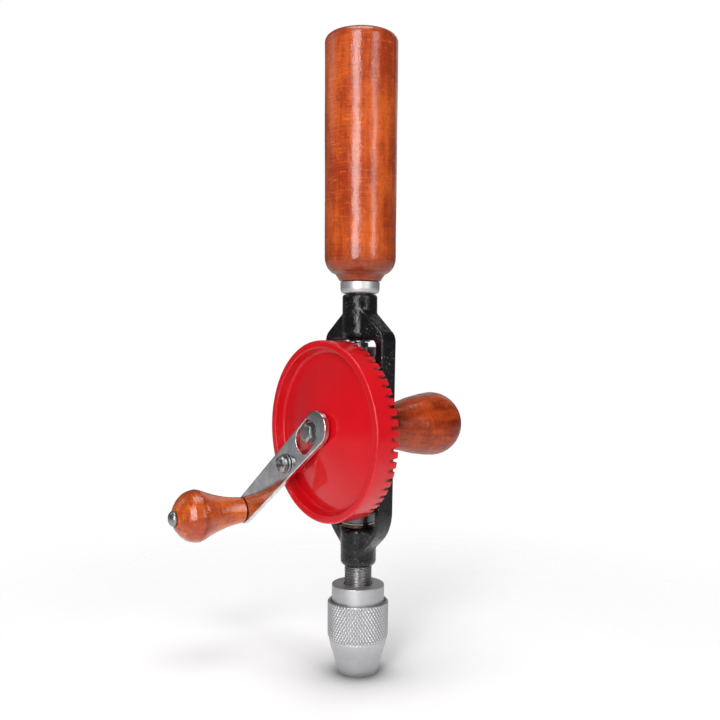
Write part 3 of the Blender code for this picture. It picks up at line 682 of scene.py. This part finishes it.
def loft(name, sections, marks=None):
    """Join equal closed sections of (radius, height[, turn]), one at each angle, into a ring."""
    points, faces = [], []
    count = len(sections[0][1])
    for angle, section in sections:
        for radius, height, *turn in section:
            place = angle + sum(turn)
            points.append((radius * math.cos(place), radius * math.sin(place), height))
    for row in range(len(sections)):
        following = (row + 1) % len(sections)
        for corner in range(count):
            after = (corner + 1) % count
            faces.append((row * count + corner, following * count + corner,
                          following * count + after, row * count + after))
    return mesh_from(name, points, faces, marks)


def make_wheel():
    """The dished bevel wheel with its cast teeth, the pad for the crank's screw and the bush."""
    front = rounded([
        (WHEEL_R, 15.5), (WHEEL_R, WHEEL_FRONT, 0.9), (38.5, WHEEL_FRONT, 0.7),
        (37.2, 17.5, 1.6), (HUB_R + 0.6, 25.3, 3.0), (HUB_R, HUB_FRONT, 0.4),
        (5.3, HUB_FRONT, 0.3), (5.3, HUB_BACK, 0.3), (9.0, HUB_BACK, 0.3), (9.4, 19.4, 1.0), 
        (11.0, 20.6, 1.0), (34.8, 15.0, 1.0), (33.6, 12.4, 0.5)])
    front = divided(front, 4.5)
    sections, root_dirt_and_shade, edge = [], [], []
    pitch = 2 * math.pi / WHEEL_TEETH
    for angle, radius, axial, depth in tooth_columns(WHEEL_TEETH, PINION_TEETH, pitch / 2):
        outer, inner = WHEEL_R / radius, WHEEL_TOOTH_INNER_R / radius
        from_middle = angle % pitch - pitch / 2
        # Beyond the reach of the pinions the cast teeth are thicker and less deep.
        thicker = max(0.0, (1.30 + 0.5 * depth) / WHEEL_R - abs(from_middle))
        turn, rise = math.copysign(thicker, from_middle), -0.85 * depth
        ends = [(WHEEL_TOOTH_INNER_R, axial * inner + 0.35),
                (WHEEL_TOOTH_INNER_R + 0.35, axial * inner * 1.01)]
        for t, s in ((0.25, 0.0), (0.5, 0.0), (0.72, 0.0), (0.84, 0.8), (0.955, 1.0)):
            ends.append((WHEEL_TOOTH_INNER_R + t * TOOTH_LENGTH,
                         axial * (inner + t * (outer - inner)) + rise * s, turn * s))
        ends += [(WHEEL_R - 0.12, axial * outer + 0.02 + rise, turn),
                 (WHEEL_R, axial * outer + 0.25 + rise, turn)]
        sections.append((angle, front + ends))
        # Darker towards the tooth roots, partly dirt and partly painted shade.
        root_dirt_and_shade += [0.0] * len(front) + [depth ** 1.5] * len(ends)
        # Lighter at the lip's front edges and the tooth tips: partly wear, partly painted
        # highlight.
        lip_wear_and_highlight = [1.0 if h > WHEEL_FRONT - 0.35 and (r > 41.4 or 38.2 < r < 39.0) else 0.0
               for r, h in front]
        edge += lip_wear_and_highlight + [0.7 * (1.0 - depth)] * len(ends)
    mesh = loft("bevel_wheel", sections, {"root_dirt_and_shade": root_dirt_and_shade, "edge": edge})
    place_piece("bevel_wheel", mesh, "wheel", "red_enamel", ["drive_wheel"], AXLE, FRONT)
    x, z = crank_point(SCREW_DISTANCE, SCREW_OFFSET)
    place = (x, 0.0, WHEEL_Z + z)
    profile = [(2.3, HUB_FRONT), (4.6, HUB_FRONT, 0.5), (4.8, 21.8, 1.0), (6.2, 19.0, 0.4),
               (2.3, 18.6)]
    turned("screw_pad", profile, "wheel", "red_enamel", ["drive_wheel"], place, FRONT, 72,
           closed=True)
    washer("hub_bush", 5.0, 3.5, HUB_BACK, HUB_FRONT, "wheel", "bearing_bronze", ["wheel_hub_bush"])


def make_pinion(name, node, upward, body, hub_r, hub_end, bore_r):
    """A bevel pinion above or below the axle, with a plain hub behind its teeth."""
    sign = 1.0 if upward else -1.0
    sections = []
    for angle, radius, axial, _ in tooth_columns(PINION_TEETH, WHEEL_TEETH, -math.pi / 2):
        def at(distance, inset=0.0):
            return (radius * distance / axial - inset, sign * distance)

        middle = (PINION_INNER_END + PINION_OUTER_END) / 2
        section = [(bore_r + 0.2, sign * PINION_INNER_END), at(PINION_INNER_END, 0.3),
                   at(PINION_INNER_END + 0.3), at(middle), at(PINION_OUTER_END - 0.3),
                   at(PINION_OUTER_END, 0.3), (hub_r + 0.1, sign * PINION_OUTER_END),
                   (hub_r, sign * (PINION_OUTER_END + 0.1)), (hub_r, sign * (hub_end - 0.3)),
                   (hub_r - 0.3, sign * hub_end), (bore_r + 0.2, sign * hub_end),
                   (bore_r, sign * (hub_end - 0.2)), (bore_r, sign * (PINION_INNER_END + 0.2))]
        sections.append((angle, section))
    material = "gear_steel" if upward else "dark_steel"
    place_piece(name, loft(name, sections), body, material, [node], AXLE)


def make_gear_train():
    """Both pinions, and the upper one's pin and shim."""
    make_pinion("idler_gear", "idler_pinion", True, "idler", 4.1, 40.9, 2.8)
    make_pinion("spindle_gear", "drive_pinion", False, "spindle", 8.0, 43.6, 5.3)
    profile = [(0.0, 168.0), (2.1, 168.0), (2.5, 167.6), (2.5, 145.9), (4.4, 145.9, 0.2),
               (4.4, 144.6, 0.3), (3.8, 143.9, 0.4), (0.0, 143.7)]
    turned("headed_idler_pin", profile, "frame", "screw_steel", ["idler_pin"], columns=64)
    washer("idler_shim", 4.9, 2.8, 157.2, 157.9, "frame", "screw_steel", ["idler_washer"],
           UPRIGHT, UPRIGHT)


# ------------------------------------------------------------------ crank

def plate_mesh(name, outlines, half, edge):
    """A flat plate with rounded edges from closed outlines; the later ones are holes."""
    curve = bpy.data.curves.new(name + "_outline", "CURVE")
    curve.dimensions, curve.fill_mode = "2D", "BOTH"
    curve.extrude, curve.bevel_depth = (half - edge) * MM, edge * MM
    curve.offset, curve.bevel_resolution = -edge * MM, 3
    for outline in outlines:
        spline = curve.splines.new("POLY")
        spline.points.add(len(outline) - 1)
        for point, (x, y) in zip(spline.points, outline):
            point.co = (x * MM, y * MM, 0.0, 1.0)
        spline.use_cyclic_u = True
    guide = bpy.data.objects.new(name + "_guide", curve)
    bpy.context.scene.collection.objects.link(guide)
    bpy.context.view_layer.update()
    mesh = bpy.data.meshes.new_from_object(
        guide.evaluated_get(bpy.context.evaluated_depsgraph_get()))
    shape = bmesh.new()
    shape.from_mesh(mesh)
    bmesh.ops.remove_doubles(shape, verts=shape.verts, dist=0.000002)
    bmesh.ops.recalc_face_normals(shape, faces=shape.faces)
    shape.to_mesh(mesh)
    shape.free()
    bpy.data.objects.remove(guide)
    return mesh


def arc(centre, radius, start, end, count):
    return [point[:2] for point in ellipse(centre, (radius, radius), start, end, count)]


def make_arm():
    """The steel strip, modelled along its own X axis so that its grain runs lengthwise."""
    hub_x, hub_r, end_r, slot_r = -5.6, 7.9, 6.5, 6.1
    tilt = math.degrees(math.asin((hub_r - end_r) / (KNOB_RADIUS - hub_x)))
    outline = arc((hub_x, ARM_OFFSET), hub_r, 90.0 - tilt, 270.0 + tilt, 56)
    outline += arc((KNOB_RADIUS, ARM_OFFSET / 2), end_r, -90.0 + tilt, 90.0 - tilt, 48)
    slot = arc((0.0, 0.0), slot_r, 90.0, 270.0, 40) + arc((6.0, 0.6), slot_r, -90.0, 90.0, 40)
    holes = [slot, arc((SCREW_DISTANCE, SCREW_OFFSET), 2.4, 0.0, 352.5, 47),
             arc((KNOB_RADIUS, 0.0), 2.9, 0.0, 352.5, 47)]
    mesh = plate_mesh("crank_strip", [outline] + holes, ARM_THICKNESS / 2, 0.4)
    place = (0.0, -(ARM_BACK + ARM_THICKNESS / 2), WHEEL_Z)
    rotation = (Matrix.Rotation(math.radians(90.0), 3, "X")
                @ Matrix.Rotation(CRANK_ANGLE, 3, "Z")).to_euler()
    place_piece("crank_strip", mesh, "wheel", "polished_steel", ["crank_arm"], place, rotation)


def hexagon(apothem, low, turn):
    """A warp that trims a turned head to a hexagon above a given height."""
    def warp(angle, radius, height):
        local = np.mod(angle + turn, math.pi / 3) - math.pi / 6
        return np.where(height > low, np.minimum(radius, apothem / np.cos(local)), radius), height
    return warp


def make_bolts():
    """The axle's hexagonal bolt and the crank's slotted screw, with their washers."""
    profile = [(0.0, 31.4), (2.9, 31.35, 0.4), (4.2, 30.7, 0.5), (4.55, 30.1, 0.2),
               (4.55, 27.8, 0.2), (3.2, 27.6), (3.2, 8.9), (3.0, 8.6), (3.0, 0.9), (2.6, 0.5),
               (0.0, 0.5)]
    turned("axle_hex_bolt", profile, "frame", "screw_steel", ["axle_bolt"], AXLE, FRONT, 144,
           0.15, warp=hexagon(3.95, 27.7, 0.35), longest=0.6)
    washer("axle_plain_washer", 5.5, 3.5, 26.5, 27.4, "frame", "screw_steel", ["axle_washer"])
    x, z = crank_point(SCREW_DISTANCE, SCREW_OFFSET)
    place = (x, 0.0, WHEEL_Z + z)
    profile = [(0.0, 33.4), (2.2, 33.35, 0.4), (3.4, 32.8, 0.4), (3.75, 32.0, 0.3),
               (3.75, 30.4, 0.2), (2.0, 30.2), (2.0, 16.0), (1.6, 15.6), (0.0, 15.6)]
    screw = turned("slotted_screw", profile, "wheel", "screw_steel", ["crank_screw"], place,
                   FRONT, 96, 0.15)
    carve(screw, (10.0, 1.8, 1.0), (x, -33.2, WHEEL_Z + z))
    washer("crank_spring_washer", 4.7, 2.4, 29.3, 30.1, "wheel", "screw_steel",
           ["crank_screw_washer"], place)


# ------------------------------------------------------------------ spindle and chuck

def faded(height, low, high, low_reach, high_reach):
    """1 between two heights, falling to 0 over a reach inside each of them."""
    return (np.clip((height - low) / low_reach, 0.0, 1.0)
            * np.clip((high - height) / high_reach, 0.0, 1.0))


def thread(low, high):
    """A warp that cuts a screw thread into the outside between two heights."""
    def warp(angle, radius, height):
        turn = np.mod(height / THREAD_PITCH - angle / (2 * math.pi), 1.0)
        groove = 0.62 * np.clip(1.35 * np.abs(2 * turn - 1) - 0.2, 0.0, 1.0)
        cut = groove * faded(height, low, high, 0.8, 0.8)
        return np.where(radius > THREAD_R - 0.3, radius - cut, radius), height
    return warp


def make_spindle():
    """The spindle, with a real thread on the stretch that shows above the chuck."""
    profile = [(0.0, 89.0), (4.2, 89.0, 0.2), (5.0, 88.2, 0.2), (5.0, 51.2, 0.1),
               (THREAD_R, 51.2, 0.3)]
    profile += [(THREAD_R, 40.0), (THREAD_R, 27.0, 0.2), (5.7, 26.3), (0.0, 26.3)]
    points = rounded(profile, 0.2)

    def threaded(radius, height):
        return THREAD_LOW - 0.5 < height < THREAD_HIGH and radius > 6.0

    fine = refined(points, threaded, 0.09, 4.0) + [points[-1]]
    mesh = lathe("threaded_spindle", fine, 96, thread(THREAD_LOW, THREAD_HIGH))
    place_piece("threaded_spindle", mesh, "spindle", "thread_steel", ["spindle"])


def knurl(low, high, starts, pitch, depth):
    """A warp that presses a diamond knurl into the outside between two heights."""
    def warp(angle, radius, height):
        turn = starts * angle / (2 * math.pi)
        first = np.abs(np.mod(turn + height / pitch, 1.0) - 0.5) * 2
        second = np.abs(np.mod(turn - height / pitch, 1.0) - 0.5) * 2
        raised = 1 - np.clip(np.maximum(first, second) * 1.25 - 0.25, 0.0, 1.0)
        cut = depth * (1 - raised) * faded(height, low, high, 0.7, 0.5)
        return np.where(radius > SLEEVE_R - 1.0, radius - cut, radius), height
    return warp


def make_chuck():
    """The chuck's collar, and the knurled sleeve with its cone for the jaws."""
    profile = [(COLLAR_R, COLLAR_TOP, 0.6), (COLLAR_R, 33.6), (11.0, 33.6), (11.0, 22.4, 0.4),
               (3.7, 22.4), (3.7, 26.0), (6.75, 26.0), (6.75, COLLAR_TOP, 0.35)]
    turned("chuck_collar", profile, "spindle", "chuck_steel", ["chuck_body"], columns=128,
           fillet=0.25, closed=True, longest=3.0)
    outside = [(13.2, SLEEVE_TOP), (13.75, SLEEVE_TOP, 0.2), (SLEEVE_R, SLEEVE_TOP - 0.7, 0.3),
               (SLEEVE_R, SLEEVE_SHOULDER, 4.0), (13.95, 16.9, 2.0), (12.95, 13.1, 8.0),
               (11.75, 9.3, 8.0), (10.85, 5.4, 8.0), (10.25, 2.6, 4.0), (9.4, 0.7, 1.0),
               (8.0, 0.0, 0.6), (5.0, 0.0)]
    inside = [(5.0, 0.0), (5.0, 1.0), (11.08, 17.0), (11.35, 17.4), (11.35, 27.4), (12.8, 27.4),
              (12.8, 34.3), (13.2, SLEEVE_TOP)]

    def knurled(radius, height):
        return height > KNURL_LOW - 0.6 and radius > 13.4

    # The knurled band, which the material paints brighter as a highlight.
    def band(x, y, z):
        return float(KNURL_LOW + 0.2 < z < KNURL_HIGH - 0.2 and math.hypot(x, y) > 13.2)

    # The knurl's groove depth, by which the material paints shade into the grooves.
    def groove(x, y, z):
        """How deep in the knurl a point lies, below the sleeve's plain surface."""
        surface = SLEEVE_R - 0.3 * max(0.0, SLEEVE_SHOULDER - z)
        share = (surface - math.hypot(x, y)) / KNURL_DEPTH
        return min(share, 1.0) if band(x, y, z) and 0.0 < share < 1.6 else 0.0

    fine = refined(rounded(outside, 0.3), knurled, 0.2, 1.2) + inside[:-1]
    warp = knurl(KNURL_LOW, KNURL_HIGH, KNURL_STARTS, KNURL_PITCH, KNURL_DEPTH)
    mesh = lathe("knurled_sleeve", fine, 448, warp, True, {"groove": groove, "band": band})
    place_piece("knurled_sleeve", mesh, "sleeve", "knurled_steel", ["chuck_sleeve"],
                weighted=False)


def finish_cad_nodes():
    """Give the CAD nodes that stay in the model a procedural finish of their own."""
    kept = {
        "handle_tang": "screw_steel", "side_handle_stud": "screw_steel",
        "spindle_bush": "bearing_bronze", "pinion_cross_pin": "screw_steel",
        "spindle_thrust_washer": "polished_steel", "sleeve_thrust_ring": "screw_steel",
        "chuck_jaw_1": "chuck_steel", "chuck_jaw_2": "chuck_steel", "chuck_jaw_3": "chuck_steel",
    }
    for node, material in kept.items():
        for slot in NODES[node].material_slots:
            slot.material = MATERIALS[material]


# ------------------------------------------------------------------ studio

def make_floor():
    """A pale glowing disc just below the chuck's nose, which fades out into the white surroundings;
    near the tool its colour and glow are darkened by ambient occlusion, a painted contact shadow.
    """
    columns, radii, level = 128, (20.0, 80.0, 200.0, 450.0, 800.0, 1300.0), -0.2
    points = [(0.0, 0.0, level)]
    for radius in radii:
        points += [(radius * math.cos(2 * math.pi * i / columns),
                    radius * math.sin(2 * math.pi * i / columns), level)
                   for i in range(columns)]
    faces = [(0, 1 + i, 1 + (i + 1) % columns) for i in range(columns)]
    for ring in range(len(radii) - 1):
        start, following = 1 + ring * columns, 1 + (ring + 1) * columns
        faces += [(start + i, following + i, following + (i + 1) % columns,
                   start + (i + 1) % columns) for i in range(columns)]
    mesh = mesh_from("floor", points, faces)
    if mesh.polygons[0].normal.z < 0:
        mesh.flip_normals()
    f = Finish("pale_floor", Roughness=0.9, Emission_Color=(1.0, 1.0, 1.0), Specular_IOR_Level=0.1)
    # Painted contact shadow: ambient occlusion darkens the floor's colour and glow near the tool.
    open_sky = f.add("ShaderNodeAmbientOcclusion", {"Distance": 0.05}, samples=16).outputs["AO"]
    painted_contact_shade = f.span(open_sky, 0.42, 1.0, 0.30, 1.0)
    f.put(f.shader.inputs["Base Color"], f.mix(painted_contact_shade, (0.0, 0.0, 0.0), (0.93, 0.93, 0.94)))
    f.put(f.shader.inputs["Emission Strength"], f.math("MULTIPLY", painted_contact_shade, 0.28))
    flat = f.add("ShaderNodeVectorMath", {0: f.where}, operation="LENGTH").outputs["Value"]
    clear = f.add("ShaderNodeBsdfTransparent").outputs[0]
    blend = f.add("ShaderNodeMixShader", {
        0: f.span(flat, 0.06, 0.36), 1: f.shader.outputs[0], 2: clear})
    output = f.tree.nodes["Material Output"]
    f.tree.links.new(blend.outputs[0], output.inputs["Surface"])
    mesh.materials.append(f.material)
    floor = bpy.data.objects.new("floor", mesh)
    bpy.context.scene.collection.objects.link(floor)


def soft_box(name, azimuth, height, distance, width, tall, power, aim=0.13):
    """A soft box at an azimuth round the object, aimed at a height on its axis."""
    light = bpy.data.lights.new(name, "AREA")
    light.shape, light.size, light.size_y, light.energy = "RECTANGLE", width, tall, power
    obj = bpy.data.objects.new(name, light)
    bpy.context.scene.collection.objects.link(obj)
    angle = math.radians(azimuth)
    obj.location = (distance * math.sin(angle), -distance * math.cos(angle), height)
    towards = Vector((0.0, 0.0, aim)) - obj.location
    obj.rotation_euler = towards.to_track_quat("-Z", "Y").to_euler()


def make_studio():
    """The floor, five soft boxes, and surroundings that are white only to the camera."""
    make_floor()
    soft_box("key_strip", 36.4, 0.62, 1.0, 0.34, 1.3, 11.0, 0.5)
    soft_box("side_strip", 94.0, 0.44, 1.0, 0.22, 0.70, 2.4, 0.4)
    soft_box("left_fill", -50.0, 0.9, 1.3, 0.7, 0.7, 1.2)
    soft_box("back_fill", 215.0, 0.8, 1.3, 1.0, 0.8, 1.3)
    soft_box("top_box", 52.0, 1.5, 0.05, 0.8, 0.8, 8.0)
    world = bpy.data.worlds.new("studio")
    bpy.context.scene.world = world
    world.use_nodes = True
    tree = world.node_tree
    tree.nodes.clear()
    around = tree.nodes.new("ShaderNodeBackground")
    around.inputs["Color"].default_value = (1.0, 1.0, 1.02, 1.0)
    where = tree.nodes.new("ShaderNodeTexCoord")
    parts = tree.nodes.new("ShaderNodeSeparateXYZ")
    level = tree.nodes.new("ShaderNodeMapRange")
    level.interpolation_type = "SMOOTHSTEP"
    # Reflections see a strength of 0.48 low down and 0.09 from just below the horizon up.
    for key, value in ((1, -0.20), (2, -0.05), (3, 0.48), (4, 0.09)):
        level.inputs[key].default_value = value
    tree.links.new(where.outputs["Generated"], parts.inputs[0])
    tree.links.new(parts.outputs["Z"], level.inputs[0])
    tree.links.new(level.outputs[0], around.inputs["Strength"])
    seen = tree.nodes.new("ShaderNodeBackground")
    seen.inputs["Color"].default_value = (1.0, 1.0, 1.0, 1.0)
    seen.inputs["Strength"].default_value = 1.0
    path = tree.nodes.new("ShaderNodeLightPath")
    mix = tree.nodes.new("ShaderNodeMixShader")
    output = tree.nodes.new("ShaderNodeOutputWorld")
    tree.links.new(path.outputs["Is Camera Ray"], mix.inputs[0])
    tree.links.new(around.outputs[0], mix.inputs[1])
    tree.links.new(seen.outputs[0], mix.inputs[2])
    tree.links.new(mix.outputs[0], output.inputs["Surface"])
    bpy.context.scene.view_settings.view_transform = "Standard"


def make_camera():
    """The main view's camera, which looks slightly down and is rolled very little."""
    flat = math.cos(CAMERA_ELEVATION)
    back = Vector((math.sin(CAMERA_AZIMUTH) * flat, -math.cos(CAMERA_AZIMUTH) * flat,
                   math.sin(CAMERA_ELEVATION)))
    right = Vector((math.cos(CAMERA_AZIMUTH), math.sin(CAMERA_AZIMUTH), 0.0))
    up = back.cross(right)
    side = right * math.cos(CAMERA_ROLL) + up * math.sin(CAMERA_ROLL)
    above = up * math.cos(CAMERA_ROLL) - right * math.sin(CAMERA_ROLL)
    camera = bpy.data.cameras.new("camera")
    camera.lens, camera.sensor_width = CAMERA_LENS, CAMERA_SENSOR
    camera.clip_start, camera.clip_end = 0.01, 50.0
    obj = bpy.data.objects.new("camera", camera)
    bpy.context.scene.collection.objects.link(obj)
    turn = Matrix((side, above, back)).transposed().to_4x4()
    obj.matrix_world = Matrix.Translation(CAMERA_PLACE) @ turn
    bpy.context.scene.camera = obj


make_camera()
make_studio()
make_frame()
make_main_handle()
make_side_handle()
make_knob()
make_wheel()
make_gear_train()
make_arm()
make_bolts()
make_spindle()
make_chuck()
finish_cad_nodes()
